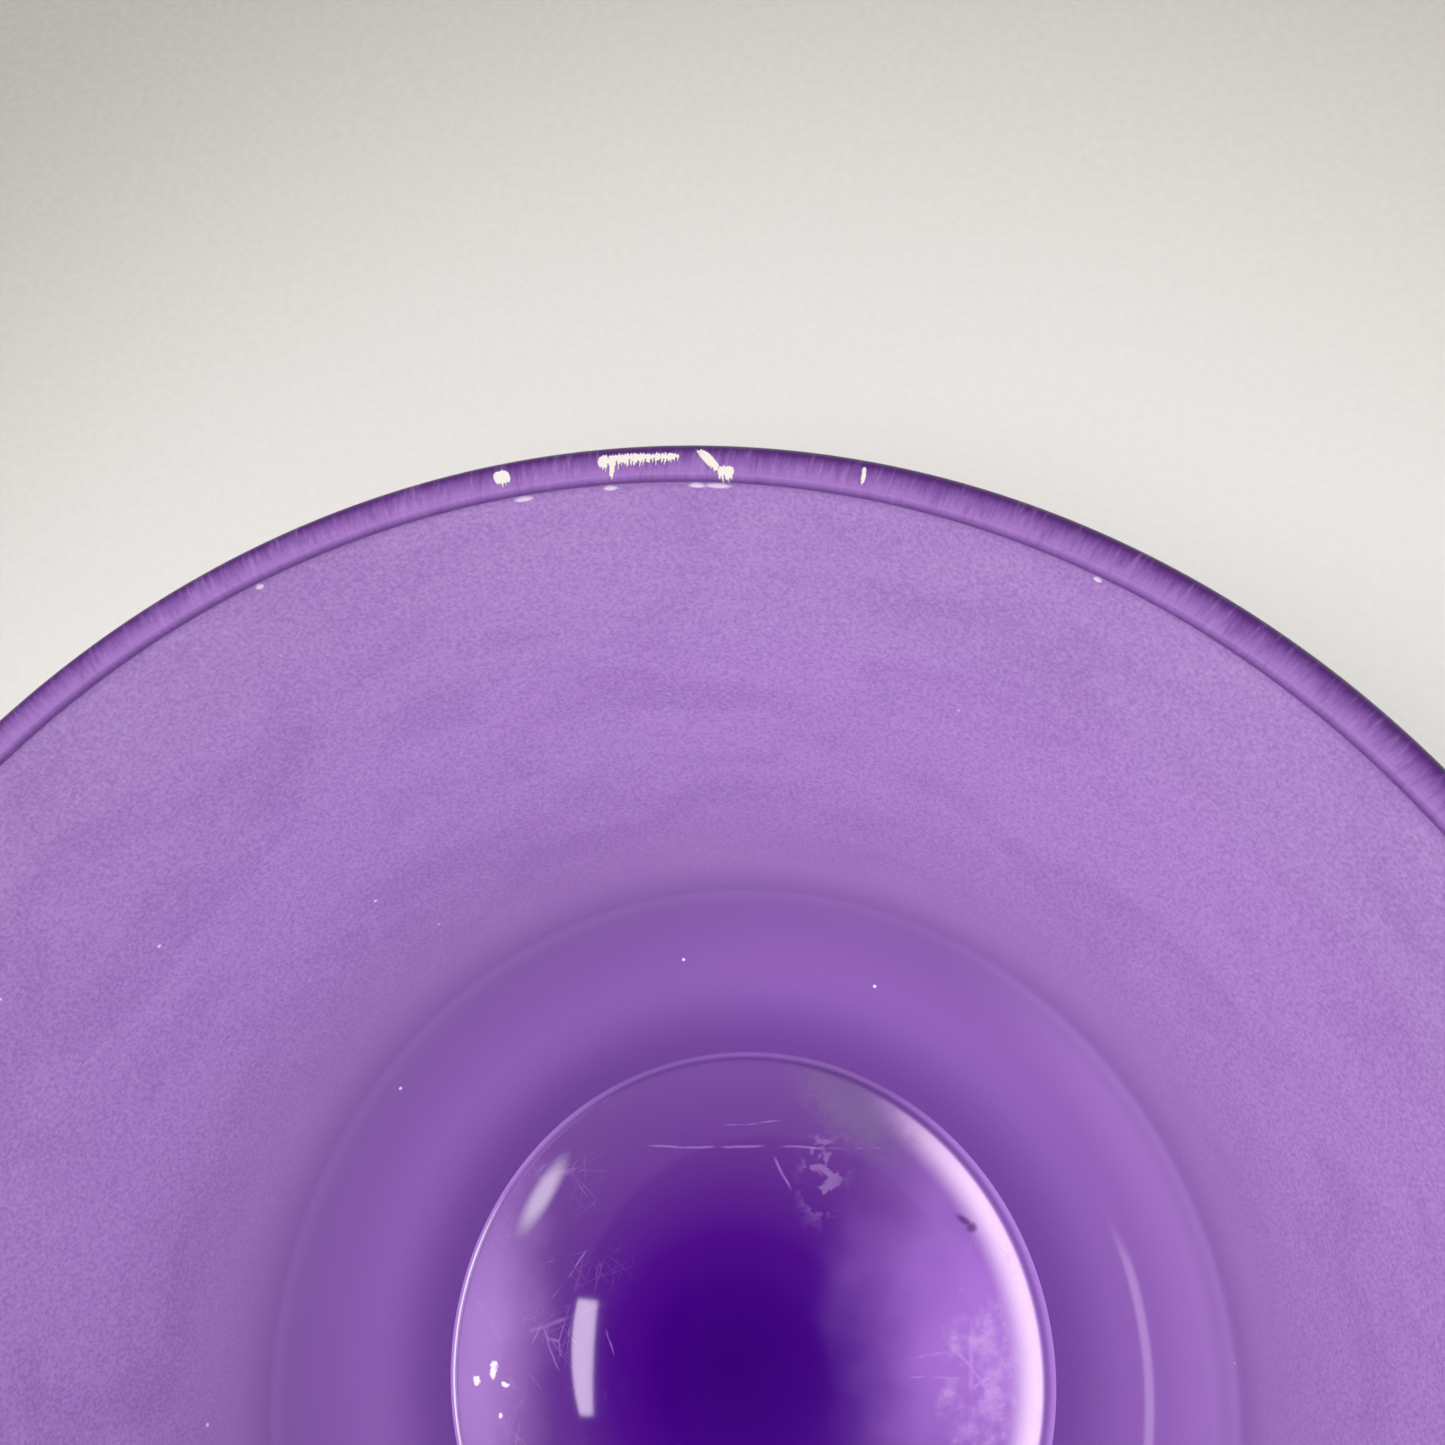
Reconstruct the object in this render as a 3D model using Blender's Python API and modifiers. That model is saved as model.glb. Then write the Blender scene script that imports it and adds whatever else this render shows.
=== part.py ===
"""Hair colour mixing bowl, turned about Z and standing on z = 0.

A deep flared bowl of translucent purple plastic. Its pieces, from the top down:

  rim_band      edge cap that is pushed over the wall's tongue
  bowl_shell    flared wall and floor, with a round opening in the floor
  dome_floor    polished dome that closes the opening, with a snap skirt below it
  dome_seal     flat gasket between the dome's flange and the floor
  foot_collar   ring that the dome's skirt snaps into, which clamps the floor
  nonslip_ring  rubber ring pressed into the collar's groove

Lengths are in millimetres here and become metres in turned(). Every outline is a list of
(radius, height) points that goes up the inner side, over the top and down the outer side.
"""

import math

import bpy

# Driving dimensions
MM = 0.001
RIM_RADIUS = 70.0
HEIGHT = 76.0
WALL = 2.4
FLOOR_TOP = 10.2
FLOOR_THICKNESS = 3.0
OPENING_RADIUS = 27.0
DOME_RADIUS = 29.9
DOME_RISE = 6.0
DOME_EDGE_HEIGHT = FLOOR_TOP + 1.3
FOOT_RADIUS = 34.2
GAP = 0.3
EDGE_BREAK = 0.4
SEGMENTS = 72

# Rim band: a cap over the wall's tongue, with a skirt outside it
BAND_WIDTH = 3.3
BAND_CAP = 0.8
BAND_SKIRT = 1.1
BAND_DEPTH = 5.2
BAND_OUTER_ROUND = 1.6
BAND_INNER_ROUND = 0.5
BAND_OUTER_STEPS = 4
BAND_INNER_STEPS = 2

# Wall: straight from the tongue's top down to a large round that runs into the flat floor. The
# slope is that of the line from the tongue's top that touches the round.
WALL_TOP = (RIM_RADIUS - BAND_WIDTH, HEIGHT - BAND_CAP - GAP)
FLAT_RADIUS = 35.2
WALL_ROUND = 13.0
ROUND_CENTRE = (FLAT_RADIUS, FLOOR_TOP + WALL_ROUND)
RUN, CLIMB = WALL_TOP[0] - ROUND_CENTRE[0], WALL_TOP[1] - ROUND_CENTRE[1]
WALL_SLOPE = math.atan2(CLIMB, RUN) + math.asin(WALL_ROUND / math.hypot(RUN, CLIMB))
LINE_STEP = 0.25
ROUND_STEPS = 9
OUTER_ROUND_STEPS = ROUND_STEPS - 2

# Dome: a cap on a flange that sits in the floor's rebate, on the seal. The shoulder is a Bezier
# curve that rolls over the dome's edge and runs out level with the floor.
FLOOR_BOTTOM = FLOOR_TOP - FLOOR_THICKNESS
FLANGE_RADIUS = DOME_RADIUS + 1.4
REBATE_RADIUS = FLANGE_RADIUS + GAP
REBATE_FLOOR = FLOOR_BOTTOM + FLOOR_THICKNESS / 3
SEAL_THICKNESS = 0.6
SEAL_INNER = OPENING_RADIUS + 1.0
SEAL_OUTER = REBATE_RADIUS - 0.8
FLANGE_BOTTOM = REBATE_FLOOR + SEAL_THICKNESS + 2 * GAP
SHOULDER_CORNERS = (
    (DOME_RADIUS, DOME_EDGE_HEIGHT),
    (DOME_RADIUS + 0.7, DOME_EDGE_HEIGHT - 0.3),
    (FLANGE_RADIUS - 0.95, FLOOR_TOP),
    (FLANGE_RADIUS, FLOOR_TOP),
)
SHOULDER_STEPS = 5
DOME_STEPS = 8
DOME_WALL = 2.4
UNDERSIDE_STEPS = 6
SKIRT_RADIUS = OPENING_RADIUS - GAP
SKIRT_WALL = 1.7

# Foot collar with its lip, the snap bead under the lip, and the rubber ring
COLLAR_TOP = FLOOR_BOTTOM - GAP
COLLAR_TOP_RADIUS = FOOT_RADIUS - 1.3
COLLAR_BOTTOM = 1.5
COLLAR_BORE = OPENING_RADIUS + 2.2
LIP_BOTTOM = COLLAR_TOP - 2.0
BEAD_RADIUS = OPENING_RADIUS + 1.1
BEAD_TOP = LIP_BOTTOM - GAP
SKIRT_BOTTOM = BEAD_TOP - 1.7
GROOVE_INNER = COLLAR_BORE + 1.2
GROOVE_OUTER = FOOT_RADIUS - 1.4
GROOVE_TOP = COLLAR_BOTTOM + 2.6
SOLE_INNER = COLLAR_BORE + 0.6
SOLE_OUTER = FOOT_RADIUS - 0.6
SOLE_TOP = COLLAR_BOTTOM - GAP


def clear_scene():
    for obj in list(bpy.data.objects):
        bpy.data.objects.remove(obj)


def material(name, colour, roughness):
    made = bpy.data.materials.new(name)
    made.use_nodes = True
    shader = made.node_tree.nodes["Principled BSDF"]
    shader.inputs["Base Color"].default_value = (*colour, 1.0)
    shader.inputs["Roughness"].default_value = roughness
    shader.inputs["Metallic"].default_value = 0.0
    return made


def arc(centre, radius, start, end, steps):
    """Points along a round stretch between two angles in degrees."""
    points = []
    for i in range(steps + 1):
        angle = math.radians(start + (end - start) * i / steps)
        across, up = radius * math.cos(angle), radius * math.sin(angle)
        points.append((centre[0] + across, centre[1] + up))
    return points


def bezier(corners, t):
    """A point of the cubic Bezier curve with four corners: t is 0 at its start and 1 at its end."""
    weights = ((1 - t) ** 3, 3 * t * (1 - t) ** 2, 3 * t * t * (1 - t), t**3)
    return tuple(sum(w * c[k] for w, c in zip(weights, corners)) for k in (0, 1))


def round_point(slope, outward):
    """The point of the wall's round where it has this slope, moved outwards from the inner side."""
    reach = WALL_ROUND + outward
    return (
        ROUND_CENTRE[0] + reach * math.sin(slope),
        ROUND_CENTRE[1] - reach * math.cos(slope),
    )


def inner_wall():
    """The inner side from the top down. A line runs round it where the straight wall ends: the
    round starts a little proud of the wall, and is back at its own radius at the floor."""
    points = [WALL_TOP, round_point(WALL_SLOPE, 0.0)]
    for i in range(ROUND_STEPS + 1):
        rest = 1 - i / ROUND_STEPS
        points.append(round_point(WALL_SLOPE * rest, -LINE_STEP * rest))
    return points


def outer_wall(tongue_radius):
    """The outer side, from the straight tongue down to the floor's underside. The floor is thicker
    than the wall, so the round stops short and a straight line runs on to the underside."""
    foot = round_point(WALL_SLOPE, WALL)
    start = (tongue_radius, foot[1] + (tongue_radius - foot[0]) * math.tan(WALL_SLOPE))
    side = []
    for i in range(OUTER_ROUND_STEPS + 1):
        side.append(round_point(WALL_SLOPE * (1 - i / ROUND_STEPS), WALL))
    return [start] + side + [(FLAT_RADIUS, FLOOR_BOTTOM)]


def turned(name, outline, finish, collection, closed=True):
    """One solid, turned about Z. An outline that isn't closed has both ends on the axis."""
    edges = [(i, i + 1) for i in range(len(outline) - 1)]
    if closed:
        edges.append((len(outline) - 1, 0))
    mesh = bpy.data.meshes.new(name)
    mesh.from_pydata([(r * MM, 0.0, z * MM) for r, z in outline], edges, [])
    mesh.materials.append(finish)
    obj = bpy.data.objects.new(name, mesh)
    collection.objects.link(obj)
    screw = obj.modifiers.new("turn", "SCREW")
    screw.axis = "Z"
    screw.angle = math.tau
    screw.steps = screw.render_steps = SEGMENTS
    screw.use_smooth_shade = True
    screw.use_merge_vertices = not closed
    screw.merge_threshold = 0.01 * MM


def rim_band(collection, finish):
    inner = RIM_RADIUS - BAND_WIDTH
    under_cap = HEIGHT - BAND_CAP
    skirt_inner = RIM_RADIUS - BAND_SKIRT
    skirt_end = HEIGHT - BAND_DEPTH
    inner_centre = (inner + BAND_INNER_ROUND, HEIGHT - BAND_INNER_ROUND)
    outer_centre = (RIM_RADIUS - BAND_OUTER_ROUND, HEIGHT - BAND_OUTER_ROUND)
    outline = [(inner, under_cap)]
    outline += arc(inner_centre, BAND_INNER_ROUND, 180, 90, BAND_INNER_STEPS)
    outline += arc(outer_centre, BAND_OUTER_ROUND, 90, 0, BAND_OUTER_STEPS)
    outline += [
        (RIM_RADIUS, skirt_end + EDGE_BREAK),
        (RIM_RADIUS - EDGE_BREAK, skirt_end),
        (skirt_inner, skirt_end),
        (skirt_inner, under_cap),
    ]
    turned("rim_band", outline, finish, collection)


def bowl_shell(collection, finish):
    tongue_outer = RIM_RADIUS - BAND_SKIRT - GAP
    outline = [(tongue_outer, WALL_TOP[1])] + outer_wall(tongue_outer)
    outline += [
        (OPENING_RADIUS, FLOOR_BOTTOM),
        (OPENING_RADIUS, REBATE_FLOOR),
        (REBATE_RADIUS, REBATE_FLOOR),
        (REBATE_RADIUS, FLOOR_TOP),
    ]
    outline += reversed(inner_wall())
    turned("bowl_shell", outline, finish, collection)


def dome_floor(collection, finish):
    """A cap of a sphere whose outline starts and ends on the axis, with a snap skirt below it."""
    sphere = (DOME_RADIUS**2 + DOME_RISE**2) / (2 * DOME_RISE)
    centre = (0.0, DOME_EDGE_HEIGHT + DOME_RISE - sphere)
    edge_angle = math.degrees(math.acos(DOME_RADIUS / sphere))
    skirt_inner = SKIRT_RADIUS - SKIRT_WALL
    under = sphere - DOME_WALL
    under_angle = math.degrees(math.acos(skirt_inner / under))
    outline = arc(centre, sphere, 90, edge_angle, DOME_STEPS)
    outline += [bezier(SHOULDER_CORNERS, (i + 1) / SHOULDER_STEPS) for i in range(SHOULDER_STEPS)]
    outline += [
        (FLANGE_RADIUS, FLANGE_BOTTOM),
        (SKIRT_RADIUS, FLANGE_BOTTOM),
        (SKIRT_RADIUS, BEAD_TOP),
        (BEAD_RADIUS, BEAD_TOP),
        (BEAD_RADIUS, BEAD_TOP - EDGE_BREAK),
        (SKIRT_RADIUS, SKIRT_BOTTOM),
        (skirt_inner, SKIRT_BOTTOM),
    ]
    outline += arc(centre, under, under_angle, 90, UNDERSIDE_STEPS)
    for end in (0, -1):
        outline[end] = (0.0, outline[end][1])
    turned("dome_floor", outline, finish, collection, closed=False)


def dome_seal(collection, finish):
    low = REBATE_FLOOR + GAP
    high = low + SEAL_THICKNESS
    outline = [(SEAL_INNER, low), (SEAL_INNER, high), (SEAL_OUTER, high), (SEAL_OUTER, low)]
    turned("dome_seal", outline, finish, collection)


def foot_collar(collection, finish):
    outline = [
        (COLLAR_BORE, LIP_BOTTOM),
        (OPENING_RADIUS, LIP_BOTTOM),
        (OPENING_RADIUS, COLLAR_TOP),
        (COLLAR_TOP_RADIUS - EDGE_BREAK, COLLAR_TOP),
        (COLLAR_TOP_RADIUS, COLLAR_TOP - EDGE_BREAK),
        (FOOT_RADIUS, COLLAR_BOTTOM + EDGE_BREAK),
        (FOOT_RADIUS - EDGE_BREAK, COLLAR_BOTTOM),
        (GROOVE_OUTER, COLLAR_BOTTOM),
        (GROOVE_OUTER, GROOVE_TOP),
        (GROOVE_INNER, GROOVE_TOP),
        (GROOVE_INNER, COLLAR_BOTTOM),
        (COLLAR_BORE, COLLAR_BOTTOM),
    ]
    turned("foot_collar", outline, finish, collection)


def nonslip_ring(collection, finish):
    outline = [
        (SOLE_INNER + EDGE_BREAK, 0.0),
        (SOLE_INNER, EDGE_BREAK),
        (SOLE_INNER, SOLE_TOP),
        (GROOVE_INNER + GAP, SOLE_TOP),
        (GROOVE_INNER + GAP, GROOVE_TOP - GAP),
        (GROOVE_OUTER - GAP, GROOVE_TOP - GAP),
        (GROOVE_OUTER - GAP, SOLE_TOP),
        (SOLE_OUTER, SOLE_TOP),
        (SOLE_OUTER, EDGE_BREAK),
        (SOLE_OUTER - EDGE_BREAK, 0.0),
    ]
    turned("nonslip_ring", outline, finish, collection)


def main():
    clear_scene()
    bowl = bpy.data.collections.new("hair_colour_bowl")
    bpy.context.scene.collection.children.link(bowl)
    rim_band(bowl, material("rim_purple", (0.30, 0.13, 0.47), 0.30))
    bowl_shell(bowl, material("satin_purple", (0.40, 0.20, 0.56), 0.42))
    dome_floor(bowl, material("polished_purple", (0.16, 0.03, 0.34), 0.08))
    dome_seal(bowl, material("grey_silicone", (0.45, 0.44, 0.47), 0.60))
    foot_collar(bowl, material("foot_purple", (0.16, 0.03, 0.34), 0.20))
    nonslip_ring(bowl, material("dark_rubber", (0.035, 0.03, 0.045), 0.80))


main()
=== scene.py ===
import math

import bmesh
import bpy
import numpy as np
from mathutils import Matrix, Vector


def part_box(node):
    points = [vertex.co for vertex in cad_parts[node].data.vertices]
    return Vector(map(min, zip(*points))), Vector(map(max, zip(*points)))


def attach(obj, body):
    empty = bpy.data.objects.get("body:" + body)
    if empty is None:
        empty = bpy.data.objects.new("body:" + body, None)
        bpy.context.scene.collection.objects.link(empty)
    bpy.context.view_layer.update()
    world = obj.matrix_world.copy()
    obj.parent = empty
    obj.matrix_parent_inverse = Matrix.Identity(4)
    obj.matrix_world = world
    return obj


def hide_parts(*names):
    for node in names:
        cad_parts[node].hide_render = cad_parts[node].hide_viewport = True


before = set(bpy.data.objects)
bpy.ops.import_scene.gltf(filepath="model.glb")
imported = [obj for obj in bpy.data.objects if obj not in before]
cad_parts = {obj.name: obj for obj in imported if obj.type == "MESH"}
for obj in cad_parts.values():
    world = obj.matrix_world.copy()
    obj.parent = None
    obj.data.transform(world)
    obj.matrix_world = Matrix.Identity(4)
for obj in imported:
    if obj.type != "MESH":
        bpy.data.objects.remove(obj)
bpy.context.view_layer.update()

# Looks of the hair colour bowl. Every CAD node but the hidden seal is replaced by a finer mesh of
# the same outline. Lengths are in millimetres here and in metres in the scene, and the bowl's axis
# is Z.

MM = 0.001


def top_and_radius(node):
    """A turned node's highest point and largest radius, in millimetres."""
    low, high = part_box(node)
    return high[2] / MM, high[0] / MM


# Main dimensions, from the frame
HEIGHT, RIM_RADIUS = top_and_radius("rim_band")
DOME_TOP, FLANGE_RADIUS = top_and_radius("dome_floor")
FOOT_TOP, FOOT_RADIUS = top_and_radius("foot_collar")
STEM_TOP, SOLE_OUTER = top_and_radius("nonslip_ring")
BAND_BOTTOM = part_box("rim_band")[0][2] / MM
SHELL_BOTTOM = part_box("bowl_shell")[0][2] / MM
SKIRT_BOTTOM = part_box("dome_floor")[0][2] / MM
COLLAR_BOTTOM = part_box("foot_collar")[0][2] / MM

# Sizes that the frame's boxes don't show. GAP is the clearance between parts, and SEAM is what is
# drawn of it where it would be in view.
GAP = 0.3
BAND_WIDTH = 3.3
BAND_CAP = 0.8
BAND_SKIRT = 1.1
BAND_OUTER_ROUND = 1.6
BAND_INNER_ROUND = 0.5
WALL = 2.4
FLOOR_TOP = SHELL_BOTTOM + 3.0
REBATE_FLOOR = SHELL_BOTTOM + 1.0
SEAM = 0.01
REBATE_RADIUS = FLANGE_RADIUS + SEAM
OPENING_RADIUS = 27.0
DOME_RADIUS = FLANGE_RADIUS - 1.4
DOME_RISE = 6.0
DOME_EDGE_HEIGHT = DOME_TOP - DOME_RISE
DOME_WALL = 2.4
FLANGE_BOTTOM = FLOOR_TOP - 0.8
SKIRT_RADIUS = OPENING_RADIUS - GAP
SKIRT_WALL = 1.7
BEAD_RADIUS = OPENING_RADIUS + 1.1
BEAD_TOP = SKIRT_BOTTOM + 1.7
COLLAR_TOP_RADIUS = FOOT_RADIUS - 1.3
COLLAR_BORE = OPENING_RADIUS + 2.2
LIP_BOTTOM = FOOT_TOP - 2.0
GROOVE_INNER = COLLAR_BORE + 1.2
GROOVE_OUTER = FOOT_RADIUS - 1.4
GROOVE_TOP = COLLAR_BOTTOM + 2.6
SOLE_INNER = COLLAR_BORE + 0.6
SOLE_TOP = COLLAR_BOTTOM - GAP
EDGE = 0.4
LIP_ROUND = 0.08
GRIP_GROOVES = 7
GRIP_DEPTH = 0.22

# Fineness of the meshes: columns round the bowl, the step in degrees between columns at the chips,
# and the angle in degrees from which edges are sharp
WALL_COLUMNS = 360
RIM_COLUMNS = 420
CHIP_COLUMN_STEP = 0.07
OTHER_COLUMNS = 256
SHARP_FROM = 35.0

# Inner side of the wall: straight, then a large round that runs into the flat floor. A line runs
# round it where the two meet.
WALL_TOP = (RIM_RADIUS - BAND_WIDTH, HEIGHT - BAND_CAP - GAP)
FLAT_RADIUS = 35.2
WALL_ROUND = 13.0
ROUND_CENTRE = (FLAT_RADIUS, FLOOR_TOP + WALL_ROUND)
RUN, CLIMB = WALL_TOP[0] - ROUND_CENTRE[0], WALL_TOP[1] - ROUND_CENTRE[1]
WALL_SLOPE = math.atan2(CLIMB, RUN) + math.asin(WALL_ROUND / math.hypot(RUN, CLIMB))
LINE_STEP = 0.13
LINE_RISE_STEPS = 7
ROUND_START, ROUND_SHARE = 0.004, 0.99
OUTER_ROUND_SHARE = 0.78

# Shoulder: a Bezier curve that rolls over the dome's edge and runs out level with the floor
SHOULDER_CORNERS = (
    (DOME_RADIUS, DOME_EDGE_HEIGHT),
    (DOME_RADIUS + 0.7, DOME_EDGE_HEIGHT - 0.3),
    (FLANGE_RADIUS - 0.95, FLOOR_TOP),
    (FLANGE_RADIUS, FLOOR_TOP),
)

# White chips on the rim's top: degrees round the rim, half width in degrees, radius of the
# middle, half length across the band, how far the outer end leans in degrees, and raggedness
CHIPS = (
    (100.2, 0.58, 68.16, 0.66, 0.10, 0.5),
    (93.45, 0.40, 68.28, 0.62, 0.0, 0.7),
    (91.95, 1.95, 68.40, 0.46, 0.0, 1.1),
    (89.60, 1.15, 68.42, 0.34, 0.0, 1.6),
    (92.9, 0.18, 67.70, 0.80, 0.0, 0.5),
    (86.6, 0.44, 68.18, 0.98, 0.75, 0.5),
    (85.4, 0.58, 67.22, 0.52, 0.0, 0.7),
    (76.7, 0.15, 68.20, 0.80, 0.08, 0.3),
)
CHIP_DEPTH = 0.12
CHIP_POWER = 2.6
CHIP_STEEPNESS = 6.0

# Painted glints on the wall just below the band, reflections of the white chips: degrees round it,
# and half length
RIM_GLINTS = ((99.1, 0.7), (93.2, 0.5), (87.4, 0.6), (86.0, 0.9), (118.0, 0.3), (61.0, 0.3))
GLINT_RADIUS = WALL_TOP[0] - 0.06
GLINT_HALF_WIDTH = 0.07
GLINT_SOFTNESS = 0.4

# Wear and painted light on the dome, in millimetres from its axis. Scratches have two ends and a
# # width. Patches have a centre, two half sizes, a softness, and a turn in degrees.
SCRATCHES = (
    ((-14.4, 20.6), (14.1, 21.6), 0.16),
    ((-3.2, 23.0), (4.8, 24.2), 0.12),
    ((2.6, 20.4), (4.9, 16.7), 0.18),
    ((16.8, 1.8), (22.0, 3.0), 0.20),
    ((15.1, 0.2), (22.8, 0.5), 0.10),
    ((19.5, -3.1), (25.9, -0.8), 0.18),
    ((23.1, 6.0), (22.9, -5.2), 0.30),
    ((21.2, 3.4), (26.2, -2.2), 0.22),
    ((21.4, -1.8), (26.4, 1.9), 0.18),
    ((-20.8, 3.2), (-16.1, 10.1), 0.13),
    ((-22.0, -0.7), (-20.3, 3.2), 0.16),
    ((-20.5, 3.0), (-17.5, -2.5), 0.12),
    ((-14.1, 3.7), (-12.0, 0.1), 0.12),
    ((-22.4, -1.1), (-18.2, -4.9), 0.12),
)
# Two patches of painted light, where light comes through the plastic at the +X and -X sides
LIT_PATCH_RIGHT = (25.0, 3.5, 9.0, 14.0, 0.95, 8.0)
LIT_PATCH_LEFT = (-28.0, -2.0, 5.5, 16.0, 0.9, 0.0)
PALE_STREAK = (-22.2, 15.1, 3.5, 1.05, 0.6, 62.0)
ABRASION = (23.9, 0.6, 2.8, 4.6, 0.9, -8.0)
FLAKES = (8.2, 19.6, 2.2, 4.6, 0.6, -8.0)
FILM = (10.4, 25.6, 6.0, 2.4, 0.7, -38.0)
WHITE_MARKS = (
    (-25.6, -2.3, 0.38, 0.75, 0.3, 0.0),
    (-27.5, -3.5, 0.40, 0.40, 0.3, 0.0),
    (-24.0, -3.5, 0.45, 0.22, 0.3, 0.0),
    (-24.3, -6.5, 0.25, 0.30, 0.3, 0.0),
)
DARK_SMUDGE = (
    (22.3, 15.0, 0.85, 0.32, 0.6, -32.0),
    (23.0, 14.4, 0.50, 0.45, 0.6, 0.0),
)
# Three sets of fine scratches: direction in degrees, and the factor that draws the set out along it
FINE_SCRATCHES = ((25.0, 0.07), (80.0, 0.09), (140.0, 0.06))

# Colours as displayed, from 0 to 255
# The wall's colours darken from high to low and onto the floor: painted shade, where less light
# comes through the plastic
WALL_HIGH = (178, 144, 202)
WALL_MIDDLE = (182, 144, 208)
WALL_LOW = (172, 134, 194)
WALL_ROUND_SHADED = (130, 90, 160)
WALL_FLOOR_SHADED = (100, 62, 134)
WALL_CLOUD = (156, 116, 184)
WALL_PIT = (138, 98, 170)
WALL_GRAIN = (210, 182, 220)
# Painted light: a pale band on the wall's round at +X, where light comes through the plastic
WALL_LIT_RING = (190, 146, 216)
# White specks on the wall, and painted glints of the chips just below the band
WALL_SPECK_AND_GLINT = (240, 228, 244)
RIM_LIGHT_MARK = (170, 134, 194)
RIM_DARK_MARK = (84, 46, 112)
CHIP_WHITE = (208, 202, 196)
DOME_LIT_RIGHT = (157, 110, 192)
DOME_LIT_LEFT = (166, 126, 192)
DOME_LIT_CRESCENT = (236, 212, 236)
DOME_COVE_LIGHT = (168, 128, 198)
DOME_LIT_EDGE = (168, 126, 198)
DOME_GLINT = (250, 240, 252)
DULL_FILM = (116, 98, 136)
LONG_SCRATCH = (196, 158, 220)
FINE_SCRATCH = (196, 160, 220)
ABRADED = (198, 168, 214)
FLAKED = (150, 122, 176)
PALE_STREAK_TINT = (204, 190, 212)
MARK_WHITE = (250, 244, 252)
SMUDGED = (84, 40, 104)
FOOT_DEEP, FOOT_PALE = (92, 44, 140), (112, 62, 158)
RUBBER_BLACK, RUBBER_DUST = (44, 40, 50), (92, 88, 96)
SILICONE_DARK, SILICONE_PALE = (168, 166, 172), (186, 184, 190)
# The floor near the bowl and far from it: the fall-off between them is painted light
FLOOR_NEAR_LIT, FLOOR_FAR_DIM, FLOOR_SPECK = (220, 219, 214), (178, 175, 168), (255, 255, 250)
ROOM_LIGHT = (235, 235, 232)

# Colours across the rim band, from its outer edge at 0 to its inner edge at 1
RIM_STOPS = (
    (0.0, (84, 48, 108)),
    (0.10, (70, 34, 96)),
    (0.28, (80, 42, 108)),
    (0.50, (112, 74, 140)),
    (0.80, (140, 100, 166)),
    (1.0, (130, 92, 158)),
)
# Colours on the dome, from its middle at 0 to the edge of its flange at 1. The deep violet middle is
# # partly the plastic's own colour and partly painted shade, and the paler edge is painted light
DOME_SHADE_STOPS = (
    (0.0, (48, 0, 98)),
    (0.24, (55, 1, 109)),
    (0.40, (68, 12, 118)),
    (0.55, (84, 36, 124)),
    (0.70, (97, 54, 130)),
    (0.88, (108, 70, 138)),
    (0.94, (114, 74, 144)),
    (1.0, (114, 76, 148)),
)

# Camera, in metres
CAMERA_AT = (0.02477, 0.01451, 0.17486)
CAMERA_FORWARD = (-0.1750, 0.3096, -0.9346)
CAMERA_UP = (0.0, 0.9493, 0.3144)
FOCAL_LENGTH = 37.37
SENSOR = 36.0

# Floor and room: the floor's side in metres, the strength of the even light all round, and the
# height in metres that the lights face
FLOOR_SIDE = 30.0
ROOM_STRENGTH = 0.36
AIM_HEIGHT = 0.02


# Outlines

def arc(centre, radius, start, end, steps):
    """Points along a round stretch between two angles in degrees."""
    angles = np.radians(np.linspace(start, end, steps + 1))
    return [(centre[0] + radius * math.cos(a), centre[1] + radius * math.sin(a)) for a in angles]


def straight(points, spacing=0.6):
    """The same line with points no further apart than the spacing."""
    dense = [points[0]]
    for a, b in zip(points, points[1:]):
        steps = max(1, math.ceil(math.dist(a, b) / spacing))
        dense += [(a[0] + (b[0] - a[0]) * i / steps, a[1] + (b[1] - a[1]) * i / steps)
                  for i in range(1, steps + 1)]
    return dense


def rounded(corners, radius=0.25, steps=4):
    """A closed outline with each corner cut to a short round."""
    outline = []
    for i, corner in enumerate(corners):
        here = Vector(corner)
        before, after = Vector(corners[i - 1]), Vector(corners[(i + 1) % len(corners)])
        reach = min(radius, (before - here).length / 2.2, (after - here).length / 2.2)
        a = here + (before - here).normalized() * reach
        b = here + (after - here).normalized() * reach
        for k in range(steps + 1):
            t = k / steps
            outline.append(tuple(a * (1 - t) ** 2 + here * (2 * t * (1 - t)) + b * t * t))
    return outline


def bezier(corners, t):
    """A point of the cubic Bezier curve with four corners: t is 0 at its start and 1 at its end."""
    weights = ((1 - t) ** 3, 3 * t * (1 - t) ** 2, 3 * t * t * (1 - t), t**3)
    return tuple(sum(w * c[k] for w, c in zip(weights, corners)) for k in (0, 1))


def round_point(slope, outward):
    """The point of the wall's round where it has this slope, moved outwards from the inner side."""
    reach = WALL_ROUND + outward
    return (
        ROUND_CENTRE[0] + reach * math.sin(slope),
        ROUND_CENTRE[1] - reach * math.cos(slope),
    )


def smooth(t):
    """t eased between 0 and 1."""
    t = min(max(t, 0.0), 1.0)
    return t * t * (3 - 2 * t)


def inner_wall(steps=60):
    """From the top down to the dome's rebate. The round comes a little proud of the straight wall,
    and is back at its own radius at the floor. Its points stop just short of its two ends."""
    lip = HEIGHT - BAND_CAP - SEAM
    points = [(WALL_TOP[0] + LIP_ROUND, lip),
              (WALL_TOP[0] + LIP_ROUND / 4, lip - LIP_ROUND * 3 / 4)]
    points += straight([WALL_TOP, round_point(WALL_SLOPE, 0.0)])
    for i in range(steps + 1):
        rest = 1 - i / steps
        proud = LINE_STEP * rest * smooth(i / LINE_RISE_STEPS)
        points.append(round_point(WALL_SLOPE * (ROUND_START + ROUND_SHARE * rest), -proud))
    return points + straight([points[-1], (REBATE_RADIUS, FLOOR_TOP)])[1:]


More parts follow.
